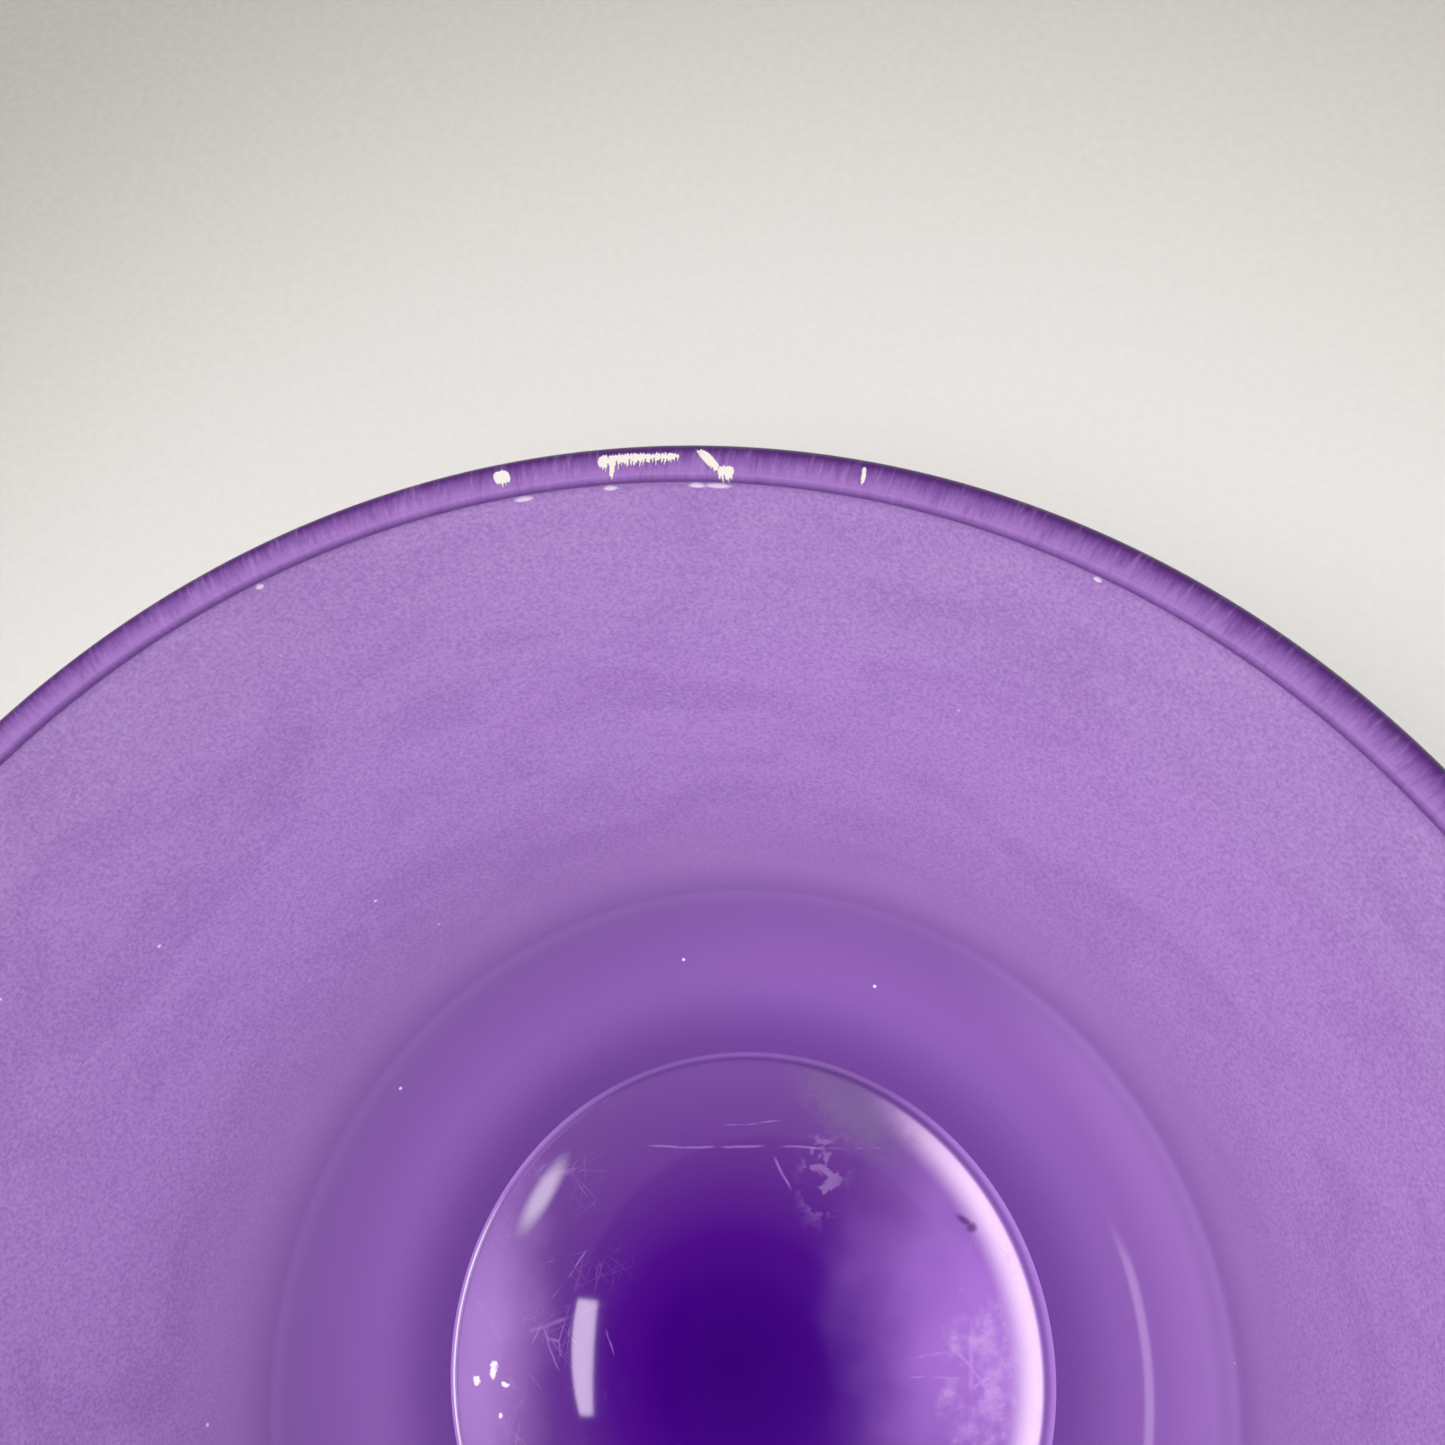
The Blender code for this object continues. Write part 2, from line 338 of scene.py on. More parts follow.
def outer_wall(tongue_radius, steps=40):
    """From the straight tongue down to the floor's underside. The floor is thicker than the wall, so
    the round stops short and a straight line runs on to the underside."""
    foot = round_point(WALL_SLOPE, WALL)
    start = (tongue_radius, foot[1] + (tongue_radius - foot[0]) * math.tan(WALL_SLOPE))
    side = [round_point(WALL_SLOPE * (1 - OUTER_ROUND_SHARE * i / steps), WALL)
            for i in range(steps + 1)]
    return straight([start, side[0]]) + side[1:] + [(FLAT_RADIUS, SHELL_BOTTOM)]


# Meshes

def turned(name, outline, angles, depth=None, closed=True):
    """The outline turned about Z, with a mesh column at each angle in degrees. depth(angle, r, z)
    gives how far each point is sunk below the surface, along Z, and a mask of what is chipped.
    An outline that isn't closed starts and ends on the axis."""
    profile = np.array(outline)
    turn = np.radians(np.asarray(angles))[:, None]
    radius = np.broadcast_to(profile[:, 0], (len(angles), len(profile)))
    height = np.broadcast_to(profile[:, 1], (len(angles), len(profile))).copy()
    chipped = np.zeros_like(height)
    if depth:
        sunk, chipped = depth(np.degrees(turn), radius, height)
        height = height - sunk
    points = np.stack([radius * np.cos(turn), radius * np.sin(turn), height], axis=2) * MM
    columns, rows = len(angles), len(profile)
    faces = []
    last = rows if closed else rows - 1
    for i in range(columns):
        a, b = i * rows, (i + 1) % columns * rows
        faces += [(a + j, a + (j + 1) % rows, b + (j + 1) % rows, b + j) for j in range(last)]
    mesh = bpy.data.meshes.new(name)
    mesh.from_pydata(points.reshape(-1, 3).tolist(), [], faces)
    wear = mesh.attributes.new("chipped", "FLOAT", "POINT")
    wear.data.foreach_set("value", chipped.astype(np.float32).reshape(-1))
    obj = bpy.data.objects.new(name, mesh)
    bpy.context.scene.collection.objects.link(obj)
    if not closed:
        weld(mesh)
    mesh.shade_smooth()
    mesh.set_sharp_from_angle(angle=math.radians(SHARP_FROM))
    return obj


def weld(mesh):
    """One point on the axis instead of one for each column."""
    work = bmesh.new()
    work.from_mesh(mesh)
    bmesh.ops.remove_doubles(work, verts=work.verts, dist=0.001 * MM)
    work.to_mesh(mesh)
    work.free()


def even_angles(count):
    return np.arange(count) * 360.0 / count


def rim_angles():
    """Columns round the rim, close together where the chips are."""
    low = min(c[0] - c[1] for c in CHIPS) - 2
    high = max(c[0] + c[1] for c in CHIPS) + 2
    fine = np.arange(low, high, CHIP_COLUMN_STEP)
    coarse = even_angles(RIM_COLUMNS)
    return np.sort(np.concatenate([coarse[(coarse < low) | (coarse > high)], fine]))


def chip_depth(angle, radius, height):
    """Depth of the ragged chips in the rim's top, and a mask that is 1 inside them. Their inner
    side has longer teeth than their outer side."""
    teeth = (0.45 * np.sin(angle * 31.0) + 0.30 * np.sin(angle * 67.0 + 1.3)
             + 0.25 * np.sin(angle * 13.0))
    mask = np.zeros_like(height)
    for middle, half, centre, length, lean, rough in CHIPS:
        side = np.where(radius < centre, 1.0, 0.35)
        across = (radius - centre) / length
        along = (angle - middle - lean * across) / half
        across = across / (1.0 + rough * side * teeth)
        reach = np.abs(along) ** CHIP_POWER + np.abs(across) ** CHIP_POWER
        inside = 1.0 - reach ** (1 / CHIP_POWER)
        mask = np.maximum(mask, np.clip(inside * CHIP_STEEPNESS, 0.0, 1.0))
    mask = mask * (height > HEIGHT - 1.0)
    return mask * CHIP_DEPTH, mask


def rim_band():
    inner, under = RIM_RADIUS - BAND_WIDTH, HEIGHT - BAND_CAP
    skirt = RIM_RADIUS - BAND_SKIRT
    top = arc((inner + BAND_INNER_ROUND, HEIGHT - BAND_INNER_ROUND), BAND_INNER_ROUND,
              180, 90, steps=6)
    side = arc((RIM_RADIUS - BAND_OUTER_ROUND, HEIGHT - BAND_OUTER_ROUND), BAND_OUTER_ROUND,
               90, 0, steps=18)
    outline = [(inner, under)] + top + straight([top[-1], side[0]], spacing=0.06)[1:-1] + side
    outline += [
        (RIM_RADIUS, BAND_BOTTOM + EDGE),
        (RIM_RADIUS - EDGE * 0.3, BAND_BOTTOM + EDGE * 0.3),
        (RIM_RADIUS - EDGE, BAND_BOTTOM),
        (skirt, BAND_BOTTOM),
        (skirt, under),
    ]
    return turned("rim_band_worn", outline, rim_angles(), chip_depth)


def bowl_shell():
    tongue = RIM_RADIUS - BAND_SKIRT - GAP
    outline = [(tongue, HEIGHT - BAND_CAP - SEAM)] + outer_wall(tongue)
    outline += [
        (OPENING_RADIUS, SHELL_BOTTOM),
        (OPENING_RADIUS, REBATE_FLOOR),
        (REBATE_RADIUS, REBATE_FLOOR),
    ]
    outline += reversed(inner_wall())
    return turned("bowl_wall", outline, even_angles(WALL_COLUMNS))


def dome_floor():
    sphere = (DOME_RADIUS**2 + DOME_RISE**2) / (2 * DOME_RISE)
    centre = (0.0, DOME_TOP - sphere)
    edge = math.degrees(math.acos(DOME_RADIUS / sphere))
    skirt = SKIRT_RADIUS - SKIRT_WALL
    under = sphere - DOME_WALL
    under_edge = math.degrees(math.acos(skirt / under))
    shoulder_steps = 24
    outline = arc(centre, sphere, 90, edge, steps=60)
    outline += [bezier(SHOULDER_CORNERS, i / shoulder_steps) for i in range(1, shoulder_steps + 1)]
    outline += [
        (FLANGE_RADIUS, FLANGE_BOTTOM),
        (SKIRT_RADIUS, FLANGE_BOTTOM),
        (SKIRT_RADIUS, BEAD_TOP),
        (BEAD_RADIUS, BEAD_TOP),
        (BEAD_RADIUS, BEAD_TOP - EDGE),
        (SKIRT_RADIUS, SKIRT_BOTTOM),
        (skirt, SKIRT_BOTTOM),
    ]
    outline += arc(centre, under, under_edge, 90, steps=24)
    outline[0], outline[-1] = (0.0, outline[0][1]), (0.0, outline[-1][1])
    return turned("polished_dome", outline, even_angles(OTHER_COLUMNS), closed=False)


def foot_collar():
    outline = rounded([
        (COLLAR_BORE, LIP_BOTTOM),
        (OPENING_RADIUS, LIP_BOTTOM),
        (OPENING_RADIUS, FOOT_TOP),
        (COLLAR_TOP_RADIUS - EDGE, FOOT_TOP),
        (COLLAR_TOP_RADIUS, FOOT_TOP - EDGE),
        (FOOT_RADIUS, COLLAR_BOTTOM + EDGE),
        (FOOT_RADIUS - EDGE, COLLAR_BOTTOM),
        (GROOVE_OUTER, COLLAR_BOTTOM),
        (GROOVE_OUTER, GROOVE_TOP),
        (GROOVE_INNER, GROOVE_TOP),
        (GROOVE_INNER, COLLAR_BOTTOM),
        (COLLAR_BORE, COLLAR_BOTTOM),
    ])
    return turned("foot_ring", outline, even_angles(OTHER_COLUMNS))


def nonslip_ring():
    """The rubber ring, with fine grip grooves in its underside."""
    width = SOLE_OUTER - SOLE_INNER - 2 * EDGE
    steps = 40
    underside = []
    for i in range(steps + 1):
        across = i / steps
        groove = GRIP_DEPTH * max(0.0, math.sin(across * GRIP_GROOVES * math.pi)) ** 4
        underside.append((SOLE_OUTER - EDGE - width * across, groove))
    outline = underside + [
        (SOLE_INNER + 0.1, 0.1),
        (SOLE_INNER, EDGE),
        (SOLE_INNER, SOLE_TOP),
        (GROOVE_INNER + GAP, SOLE_TOP),
        (GROOVE_INNER + GAP, STEM_TOP),
        (GROOVE_OUTER - GAP, STEM_TOP),
        (GROOVE_OUTER - GAP, SOLE_TOP),
        (SOLE_OUTER, SOLE_TOP),
        (SOLE_OUTER, EDGE),
        (SOLE_OUTER - 0.1, 0.1),
    ]
    return turned("rubber_ring", outline, even_angles(OTHER_COLUMNS))


# Materials

def linear(colour):
    """A displayed colour from 0 to 255 as linear values, with alpha."""
    parts = [c / 255 for c in colour]
    return tuple(p / 12.92 if p < 0.04045 else ((p + 0.055) / 1.055) ** 2.4 for p in parts) + (1.0,)


class Nodes:
    """Adds shader nodes to a new material and links them. Places are in millimetres."""

    def __init__(self, name):
        self.material = bpy.data.materials.new(name)
        self.material.use_nodes = True
        self.tree = self.material.node_tree
        self.shader = self.tree.nodes["Principled BSDF"]
        place = self.tree.nodes.new("ShaderNodeTexCoord").outputs["Object"]
        split = self.tree.nodes.new("ShaderNodeSeparateXYZ")
        self.tree.links.new(place, split.inputs[0])
        self.x, self.y, self.z = (self.math("MULTIPLY", split.outputs[k], 1 / MM) for k in range(3))
        self.place = self.vector(self.x, self.y, self.z)
        self.radius = self.math("SQRT", self.math(
            "ADD", self.math("MULTIPLY", self.x, self.x), self.math("MULTIPLY", self.y, self.y)))
        self.wander = self.about_zero(self.noise(self.place, 6.0), 1.2)

    def feed(self, socket, value):
        if isinstance(value, bpy.types.NodeSocket):
            self.tree.links.new(value, socket)
        else:
            socket.default_value = value

    def math(self, operation, *values):
        node = self.tree.nodes.new("ShaderNodeMath")
        node.operation = operation
        for socket, value in zip(node.inputs, values):
            self.feed(socket, value)
        return node.outputs[0]

    def scale(self, value, low, high, to_low=0.0, to_high=1.0):
        """value from low..high to to_low..to_high, clamped and eased."""
        node = self.tree.nodes.new("ShaderNodeMapRange")
        node.interpolation_type = "SMOOTHSTEP"
        for socket, number in zip(node.inputs, (value, low, high, to_low, to_high)):
            self.feed(socket, number)
        return node.outputs[0]

    def times(self, *values):
        """The product of several values, such as masks that all have to hold."""
        result = values[0]
        for value in values[1:]:
            result = self.math("MULTIPLY", result, value)
        return result

    def about_zero(self, value, spread):
        """A value that lies round 0.5 moved to lie round 0, and made this many times wider."""
        return self.times(self.math("SUBTRACT", value, 0.5), spread)

    def mix(self, factor, a, b):
        node = self.tree.nodes.new("ShaderNodeMix")
        node.data_type = "RGBA"
        self.feed(node.inputs[0], factor)
        self.feed(node.inputs[6], a)
        self.feed(node.inputs[7], b)
        return node.outputs[2]

    def over(self, base, colour, mask, strength=1.0):
        """The base with a displayed colour laid over it where the mask is 1."""
        if strength != 1.0:
            mask = self.times(mask, strength)
        return self.mix(mask, base, linear(colour))

    def ramp(self, value, stops):
        node = self.tree.nodes.new("ShaderNodeValToRGB")
        ramp = node.color_ramp
        while len(ramp.elements) < len(stops):
            ramp.elements.new(0.5)
        for element, (position, colour) in zip(ramp.elements, stops):
            element.position, element.color = position, linear(colour)
        self.feed(node.inputs[0], value)
        return node.outputs[0]

    def vector(self, x, y, z):
        node = self.tree.nodes.new("ShaderNodeCombineXYZ")
        for socket, value in zip(node.inputs, (x, y, z)):
            self.feed(socket, value)
        return node.outputs[0]

    def stretched(self, around, out, up):
        """A place to read noise from, with its features drawn out by these factors round the bowl,
        outwards and upwards. It has no seam."""
        size = self.math("DIVIDE", RIM_RADIUS / around, self.radius)
        return self.vector(self.math("MULTIPLY", self.x, size), self.math("MULTIPLY", self.y, size),
                           self.math("ADD", self.math("DIVIDE", self.radius, out),
                                     self.math("DIVIDE", self.z, up)))

    def ring(self, start, full, level, end):
        """1 between the radii full and level, easing to 0 at start and end."""
        return self.times(self.scale(self.radius, start, full),
                          self.scale(self.radius, end, level))

    def noise(self, vector, size, detail=2.0, roughness=0.5, distortion=0.0):
        """Noise whose features are about size millimetres, from 0 to 1 around 0.5."""
        node = self.tree.nodes.new("ShaderNodeTexNoise")
        self.feed(node.inputs["Vector"], vector)
        node.inputs["Scale"].default_value = 1.0 / size
        node.inputs["Detail"].default_value = detail
        node.inputs["Roughness"].default_value = roughness
        node.inputs["Distortion"].default_value = distortion
        return node.outputs[0]

    def cells(self, vector, size, feature="F1"):
        """The outputs of Voronoi cells that are about size millimetres wide."""
        node = self.tree.nodes.new("ShaderNodeTexVoronoi")
        node.feature = feature
        self.feed(node.inputs["Vector"], vector)
        node.inputs["Scale"].default_value = 1.0 / size
        node.inputs["Randomness"].default_value = 1.0
        return node.outputs

    def blob(self, x, y, half_x, half_y, soft=0.5, turn=0.0, ragged=None):
        """1 inside an ellipse in the XY plane and 0 outside, with a soft edge."""
        cos, sin = math.cos(math.radians(turn)), math.sin(math.radians(turn))
        dx, dy = self.math("SUBTRACT", self.x, x), self.math("SUBTRACT", self.y, y)
        along = self.math("ADD", self.math("MULTIPLY", dx, cos / half_x),
                          self.math("MULTIPLY", dy, sin / half_x))
        across = self.math("SUBTRACT", self.math("MULTIPLY", dy, cos / half_y),
                           self.math("MULTIPLY", dx, sin / half_y))
        away = self.math("SQRT", self.math("ADD", self.math("MULTIPLY", along, along),
                                           self.math("MULTIPLY", across, across)))
        if ragged:
            away = self.math("ADD", away, ragged)
        return self.scale(away, 1.0 + soft, 1.0 - soft)

    def stroke(self, start, end, width):
        """1 along a thin line in the XY plane that wanders a little and fades at its ends."""
        length = math.dist(start, end)
        ux, uy = (end[0] - start[0]) / length, (end[1] - start[1]) / length
        dx, dy = self.math("SUBTRACT", self.x, start[0]), self.math("SUBTRACT", self.y, start[1])
        along = self.math("ADD", self.math("MULTIPLY", dx, ux), self.math("MULTIPLY", dy, uy))
        across = self.math("SUBTRACT", self.math("MULTIPLY", dy, ux), self.math("MULTIPLY", dx, uy))
        across = self.math("ADD", across, self.wander)
        near = self.scale(self.math("ABSOLUTE", across), width, width * 0.3)
        middle = self.math("ABSOLUTE", self.math("SUBTRACT", along, length / 2))
        return self.math("MULTIPLY", near, self.scale(middle, length / 2, length / 2 - 1.0))

    def glint_below_band(self, angle, length):
        """1 in a small painted glint that runs round the wall, just below the band."""
        turn = math.radians(angle)
        return self.blob(GLINT_RADIUS * math.cos(turn), GLINT_RADIUS * math.sin(turn), length,
                         GLINT_HALF_WIDTH, GLINT_SOFTNESS, angle - 90)

    def most(self, masks):
        """The largest of several masks."""
        result = masks[0]
        for mask in masks[1:]:
            result = self.math("MAXIMUM", result, mask)
        return result

    def bump(self, height, distance, strength=1.0):
        node = self.tree.nodes.new("ShaderNodeBump")
        self.feed(node.inputs["Height"], height)
        self.feed(node.inputs["Strength"], strength)
        node.inputs["Distance"].default_value = distance * MM
        self.tree.links.new(node.outputs[0], self.shader.inputs["Normal"])

    def set(self, **values):
        for name, value in values.items():
            self.feed(self.shader.inputs[name.replace("_", " ")], value)


def satin_wall():
    """Translucent purple: satin with a fine grain on the straight wall, smoother low down. It
    darkens low down and on the floor round the dome, painted shade where less light comes through
    the plastic, and a pale band on the +X side is painted light."""
    n = Nodes("satin_purple")
    # Painted shade: darker from the top of the wall down to the floor round the dome
    base = n.mix(n.scale(n.radius, 31.0, 41.0), linear(WALL_FLOOR_SHADED), linear(WALL_ROUND_SHADED))
    base = n.over(base, WALL_LOW, n.scale(n.z, 13.0, 26.0))
    base = n.over(base, WALL_MIDDLE, n.scale(n.z, 24.0, 44.0))
    base = n.over(base, WALL_HIGH, n.scale(n.z, 50.0, 72.0))
    clouds = n.noise(n.stretched(1.6, 1.0, 0.8), 11.0, 3.0, 0.5, 0.8)
    base = n.over(base, WALL_CLOUD,
                  n.times(n.scale(clouds, 0.40, 0.72, 0.0, 0.36), n.scale(n.z, 16.0, 32.0)))
    grain = n.noise(n.place, 0.34, 3.0, 0.7)
    satin = n.scale(n.z, 14.0, 40.0)
    base = n.over(base, WALL_PIT,
                  n.times(n.scale(grain, 0.36, 0.54, 0.40, 0.0), n.scale(satin, 0, 1, 0.2, 1)))
    base = n.over(base, WALL_GRAIN, n.times(n.scale(grain, 0.50, 0.72, 0.0, 0.32), satin))
    # Painted light: a pale band on the round at +X, where light comes through the plastic
    base = n.over(base, WALL_LIT_RING,
                  n.times(n.ring(40.5, 46.0, 47.2, 47.9), n.scale(n.x, 18.0, 38.0)), 0.3)
    cell = n.cells(n.place, 7.0)
    specks = n.times(n.scale(cell["Distance"], 0.035, 0.015), n.scale(cell["Color"], 0.55, 0.56))
    # White specks, and painted glints of the chips just below the band
    base = n.over(base, WALL_SPECK_AND_GLINT, n.most([specks] + [n.glint_below_band(*rim_glint) for rim_glint in RIM_GLINTS]))
    n.set(Base_Color=base, Roughness=n.scale(n.z, 11.5, 26.0, 0.10, 0.46), Specular_IOR_Level=0.14)
    n.bump(grain, 0.05, n.scale(satin, 0, 1, 0.04, 0.35))
    return n.material


def rim_finish():
    """Darker at the outer edge, with fine marks across the band, and white in the chips."""
    n = Nodes("rim_purple")
    fine = n.noise(n.stretched(1.0, 5.0, 5.0), 0.34, 3.0, 0.7)
    coarse = n.noise(n.stretched(1.0, 4.0, 4.0), 2.2, 2.0, 0.5)
    streaks = n.math("ADD", n.times(fine, 0.7), n.times(coarse, 0.3))
    inwards = n.math("DIVIDE", n.math("SUBTRACT", RIM_RADIUS, n.radius), BAND_WIDTH)
    base = n.ramp(n.math("ADD", inwards, n.about_zero(streaks, 0.42)), RIM_STOPS)
    base = n.over(base, RIM_LIGHT_MARK, n.scale(streaks, 0.52, 0.66, 0.0, 0.20))
    base = n.over(base, RIM_DARK_MARK, n.scale(streaks, 0.49, 0.36, 0.0, 0.30))
    chipped = n.tree.nodes.new("ShaderNodeAttribute")
    chipped.attribute_name = "chipped"
    chips = n.scale(chipped.outputs["Fac"], 0.25, 0.6)
    n.set(Base_Color=n.over(base, CHIP_WHITE, chips), Roughness=n.scale(chips, 0, 1, 0.30, 0.8),
          Specular_IOR_Level=0.4)
    n.bump(streaks, 0.03, 0.3)
    return n.material


def fine_scratches(n):
    """A mask of thin crossing scratches in broken patches near the dome's two sides."""
    lines = []
    for turn, squeeze in FINE_SCRATCHES:
        cos, sin = math.cos(math.radians(turn)), math.sin(math.radians(turn))
        along = n.math("ADD", n.times(n.x, cos), n.times(n.y, sin))
        across = n.math("SUBTRACT", n.times(n.y, cos), n.times(n.x, sin))
        cell = n.cells(n.vector(n.times(along, squeeze), across, turn), 1.4, "DISTANCE_TO_EDGE")
        lines.append(n.scale(cell["Distance"], 0.016, 0.004))
    broken = n.scale(n.noise(n.place, 5.0, 3.0, 0.6), 0.48, 0.70)
    sides = n.math("MAXIMUM", n.scale(n.x, -8.0, -20.0), n.scale(n.x, 17.0, 24.0))
    return n.times(n.most(lines), broken, sides)


def dome_colour_and_light(n, clouds):
    """Deep violet in the middle, partly painted shade, and paler towards the edge, painted light. It
    is palest at the +X and -X sides, painted light where light comes through the plastic, with a
    painted highlight crescent at +X, a painted lighter cove and sides, and a painted glint at -X."""
    base = n.ramp(n.math("DIVIDE", n.radius, FLANGE_RADIUS), DOME_SHADE_STOPS)
    # Painted light: paler patches at +X and -X, where light comes through the plastic
    base = n.over(base, DOME_LIT_RIGHT, n.blob(*LIT_PATCH_RIGHT, clouds))
    base = n.over(base, DOME_LIT_LEFT, n.blob(*LIT_PATCH_LEFT, clouds))
    # Painted highlight: a bright crescent just inside the dome's +X edge
    base = n.over(base, DOME_LIT_CRESCENT,
                  n.times(n.ring(26.4, 29.4, 29.8, 30.3), n.scale(n.x, 10.0, 25.0)))
    # Painted light: the shoulder's cove made lighter, most at +Y, and a lighter band at the +X and
    # -X sides
    base = n.over(base, DOME_COVE_LIGHT,
                  n.times(n.ring(29.9, 30.4, 30.9, 31.3), n.scale(n.y, 5.0, 20.0, 0.0, 0.28)))
    base = n.over(base, DOME_LIT_EDGE, n.times(n.scale(n.radius, 29.8, 30.3),
                                           n.scale(n.math("ABSOLUTE", n.x), 12.0, 26.0, 0.0, 0.8)))
    # Painted glint: a thin white reflection on the shoulder at -X
    return n.over(base, DOME_GLINT,
                  n.times(n.ring(30.66, 30.82, 30.92, 31.05), n.scale(n.x, -26.5, -30.2)))


def polished_dome():
    """The dome's colour with painted light and shade, worn by scratches, an abrasion, flakes, a dull
    film and small marks, with a pale streak.
    """
    n = Nodes("polished_purple")
    clouds = n.about_zero(n.noise(n.place, 7.0, 2.0), 0.8)
    base = dome_colour_and_light(n, clouds)
    rough = n.about_zero(n.noise(n.place, 1.1, 3.0, 0.6), 3.0)
    film = n.blob(*FILM, n.times(rough, 0.5))
    base = n.over(base, DULL_FILM, film, 0.7)
    faded = n.scale(n.noise(n.place, 2.5, 2.0), 0.38, 0.62)
    scratches = n.times(n.most([n.stroke(*scratch) for scratch in SCRATCHES]), faded)
    base = n.over(base, LONG_SCRATCH, scratches, 0.30)
    base = n.over(base, FINE_SCRATCH, fine_scratches(n), 0.25)
    abrasion = n.times(n.blob(*ABRASION, rough),
                       n.scale(n.noise(n.place, 3.0, 2.0, 0.6), 0.38, 0.64))
    base = n.over(base, ABRADED, abrasion, 0.55)
    flakes = n.times(n.blob(*FLAKES), n.scale(n.noise(n.place, 1.9, 2.0, 0.6, 0.4), 0.50, 0.62))
    base = n.over(base, FLAKED, flakes, 0.5)
    # A pale streak on the dome's upper left
    base = n.over(base, PALE_STREAK_TINT, n.blob(*PALE_STREAK, n.times(clouds, 0.5)), 0.8)
    ragged = n.about_zero(n.noise(n.place, 0.5, 2.0), 2.0)
    marks = n.most([n.blob(*mark, ragged) for mark in WHITE_MARKS])
    base = n.over(base, MARK_WHITE, marks)
    base = n.over(base, SMUDGED, n.most([n.blob(*spot) for spot in DARK_SMUDGE]), 0.8)
    dull = n.most([film, abrasion, flakes, marks])
    n.set(Base_Color=base, Roughness=n.scale(dull, 0.0, 1.0, 0.06, 0.45), Specular_IOR_Level=0.45)
    return n.material


def foot_plastic():
    n = Nodes("foot_purple")
    n.set(Base_Color=n.mix(n.noise(n.place, 3.0, 3.0, 0.5), linear(FOOT_DEEP), linear(FOOT_PALE)),
          Roughness=0.25)
    n.bump(n.noise(n.place, 0.5, 2.0), 0.03, 0.2)
    return n.material


def rubber():
    n = Nodes("dark_rubber")
    dust = n.scale(n.noise(n.place, 2.5, 4.0, 0.65), 0.45, 0.8)
    n.set(Base_Color=n.mix(dust, linear(RUBBER_BLACK), linear(RUBBER_DUST)), Roughness=0.82)
    n.bump(n.noise(n.place, 0.35, 3.0), 0.06, 0.5)
    return n.material


def silicone():
    n = Nodes("grey_silicone")
    mottle = n.noise(n.place, 1.2, 2.0)
    n.set(Base_Color=n.mix(mottle, linear(SILICONE_DARK), linear(SILICONE_PALE)), Roughness=0.55)
    return n.material


def floor_paint():
    """Plain and pale, with painted light: a little darker away from the bowl."""
    n = Nodes("pale_floor")
    # Painted light: lighter near the bowl, darker away from it
    base = n.mix(n.scale(n.radius, 100.0, 245.0), linear(FLOOR_NEAR_LIT), linear(FLOOR_FAR_DIM))
    mottle = n.scale(n.noise(n.place, 1.2, 3.0), 0.3, 0.7, 0.0, 0.06)
    n.set(Base_Color=n.over(base, FLOOR_SPECK, mottle), Roughness=0.9)
    return n.material


# Scene

def stand_in(piece, node, material):
    """Puts a finished piece in the place of its CAD node."""
    piece.data.materials.append(material)
    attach(piece, "root")
    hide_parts(node)


def studio_floor():
    bpy.ops.mesh.primitive_plane_add(size=FLOOR_SIDE, location=(0, 0, 0))
    floor = bpy.context.object
    floor.name = "studio_floor"
    floor.data.materials.append(floor_paint())


def aimed(obj, at, forward, up=(0, 0, 1)):
    """Places a camera or light. Both look along their own -Z."""
    back = -Vector(forward).normalized()
    right = Vector(up).cross(back).normalized()
    turn = Matrix((right, back.cross(right), back)).transposed()
    obj.matrix_world = Matrix.Translation(at) @ turn.to_4x4()


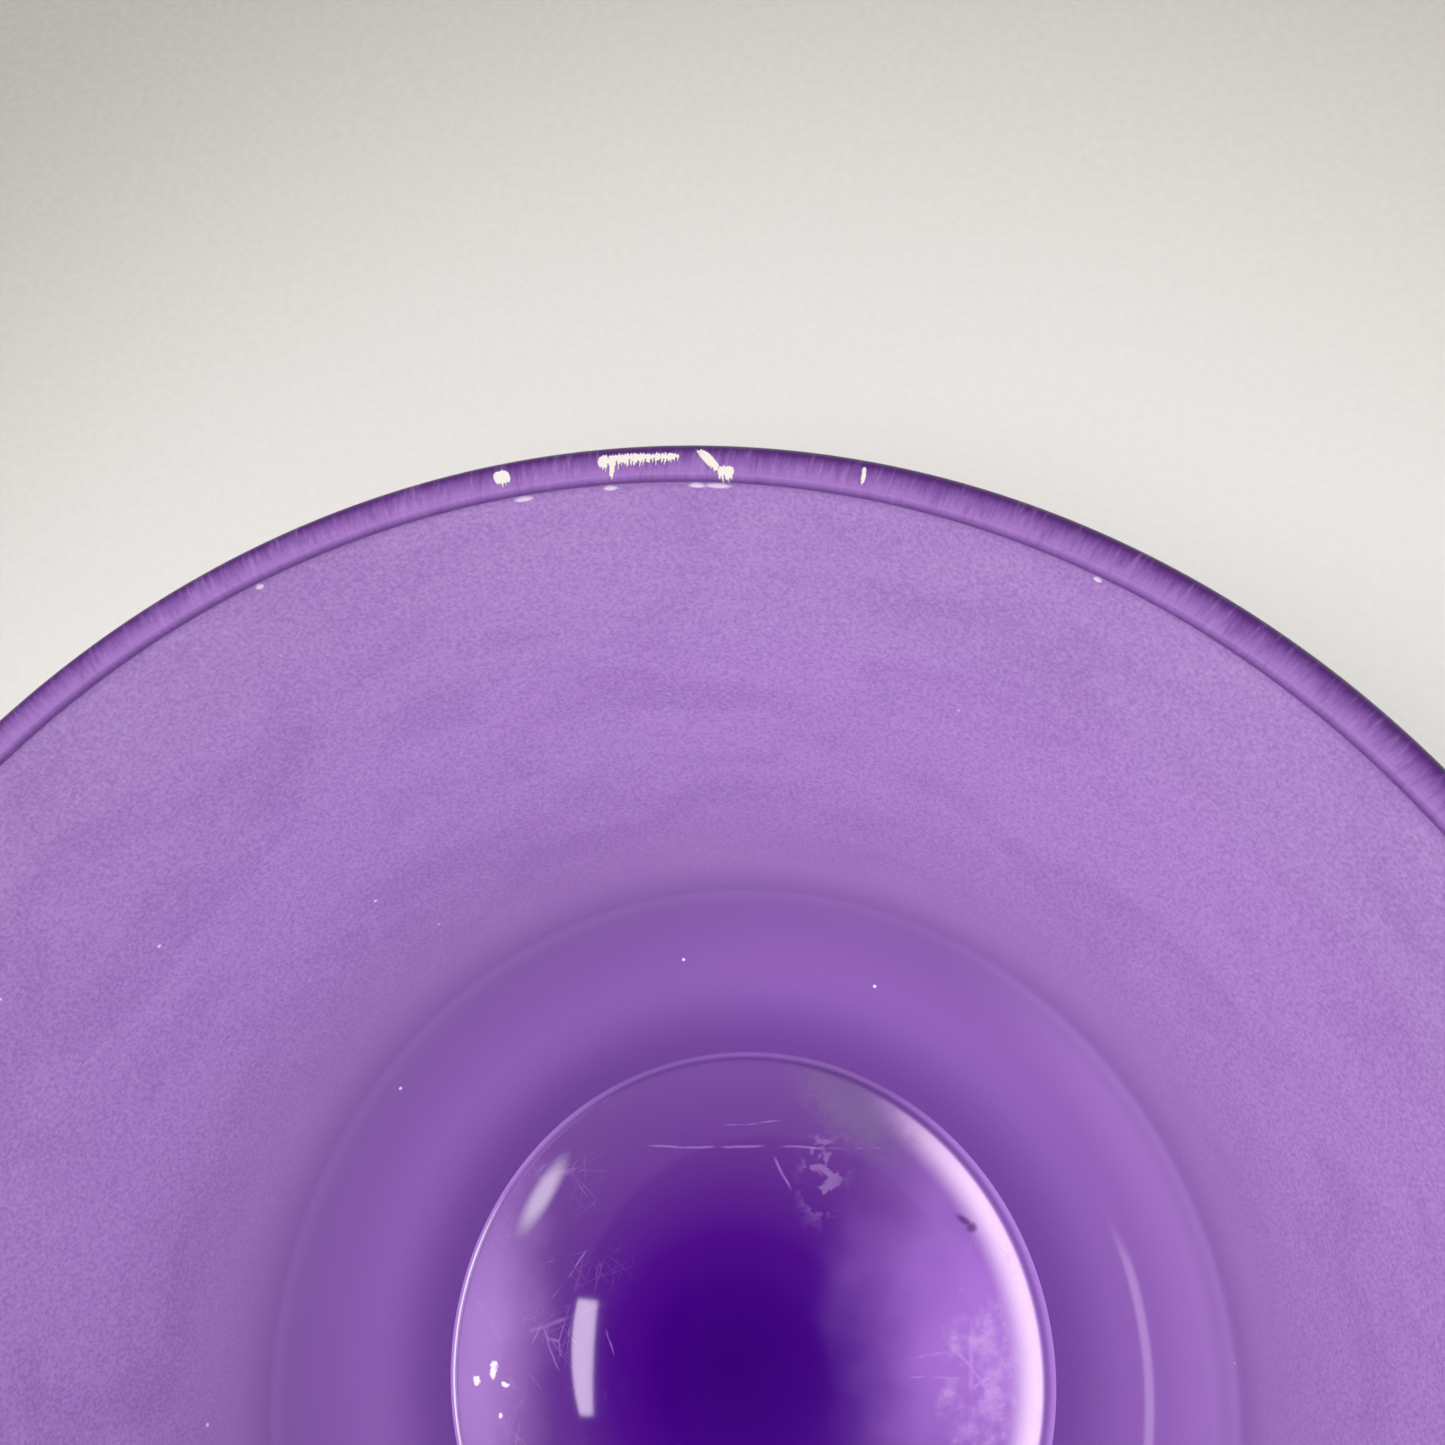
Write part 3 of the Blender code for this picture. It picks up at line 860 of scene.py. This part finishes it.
def towards(azimuth, elevation, distance):
    """A point this far from the middle of the bowl, by its direction in degrees."""
    turn, rise = math.radians(azimuth), math.radians(elevation)
    level = distance * math.cos(rise)
    return (level * math.cos(turn), level * math.sin(turn), distance * math.sin(rise) + AIM_HEIGHT)


def area_light(name, at, size, power, up=(0, 0, 1), colour=(1, 1, 1), mirrored=True):
    """A rectangular light that faces the bowl. One that isn't mirrored leaves no shape in gloss."""
    data = bpy.data.lights.new(name, "AREA")
    data.shape, data.size, data.size_y = "RECTANGLE", size[0], size[1]
    data.energy, data.color = power, colour
    light = bpy.data.objects.new(name, data)
    bpy.context.scene.collection.objects.link(light)
    light.visible_glossy = mirrored
    aimed(light, at, Vector((0, 0, AIM_HEIGHT)) - Vector(at), up)


def lights():
    area_light("window", towards(azimuth=188.3, elevation=50.3, distance=2.0),
               size=(0.645, 0.262), power=7.4, up=(0.01, -0.07, 1), colour=(1.0, 0.84, 0.98))
    area_light("overhead", towards(azimuth=-90, elevation=86, distance=0.45),
               size=(0.3, 0.3), power=1.8, mirrored=False)
    area_light("fill", towards(azimuth=-75, elevation=62, distance=1.2),
               size=(0.9, 0.9), power=3.3, mirrored=False)
    world = bpy.data.worlds.new("studio")
    world.use_nodes = True
    background = world.node_tree.nodes["Background"]
    background.inputs["Color"].default_value = linear(ROOM_LIGHT)
    background.inputs["Strength"].default_value = ROOM_STRENGTH
    bpy.context.scene.world = world
    world.cycles_visibility.glossy = False


def camera():
    data = bpy.data.cameras.new("camera")
    data.lens, data.sensor_width, data.clip_start = FOCAL_LENGTH, SENSOR, 0.005
    made = bpy.data.objects.new("camera", data)
    bpy.context.scene.collection.objects.link(made)
    aimed(made, CAMERA_AT, CAMERA_FORWARD, CAMERA_UP)
    bpy.context.scene.camera = made


bpy.context.scene.view_settings.view_transform = "Standard"
stand_in(rim_band(), "rim_band", rim_finish())
stand_in(bowl_shell(), "bowl_shell", satin_wall())
stand_in(dome_floor(), "dome_floor", polished_dome())
stand_in(foot_collar(), "foot_collar", foot_plastic())
stand_in(nonslip_ring(), "nonslip_ring", rubber())
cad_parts["dome_seal"].data.materials.clear()
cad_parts["dome_seal"].data.materials.append(silicone())
studio_floor()
lights()
camera()
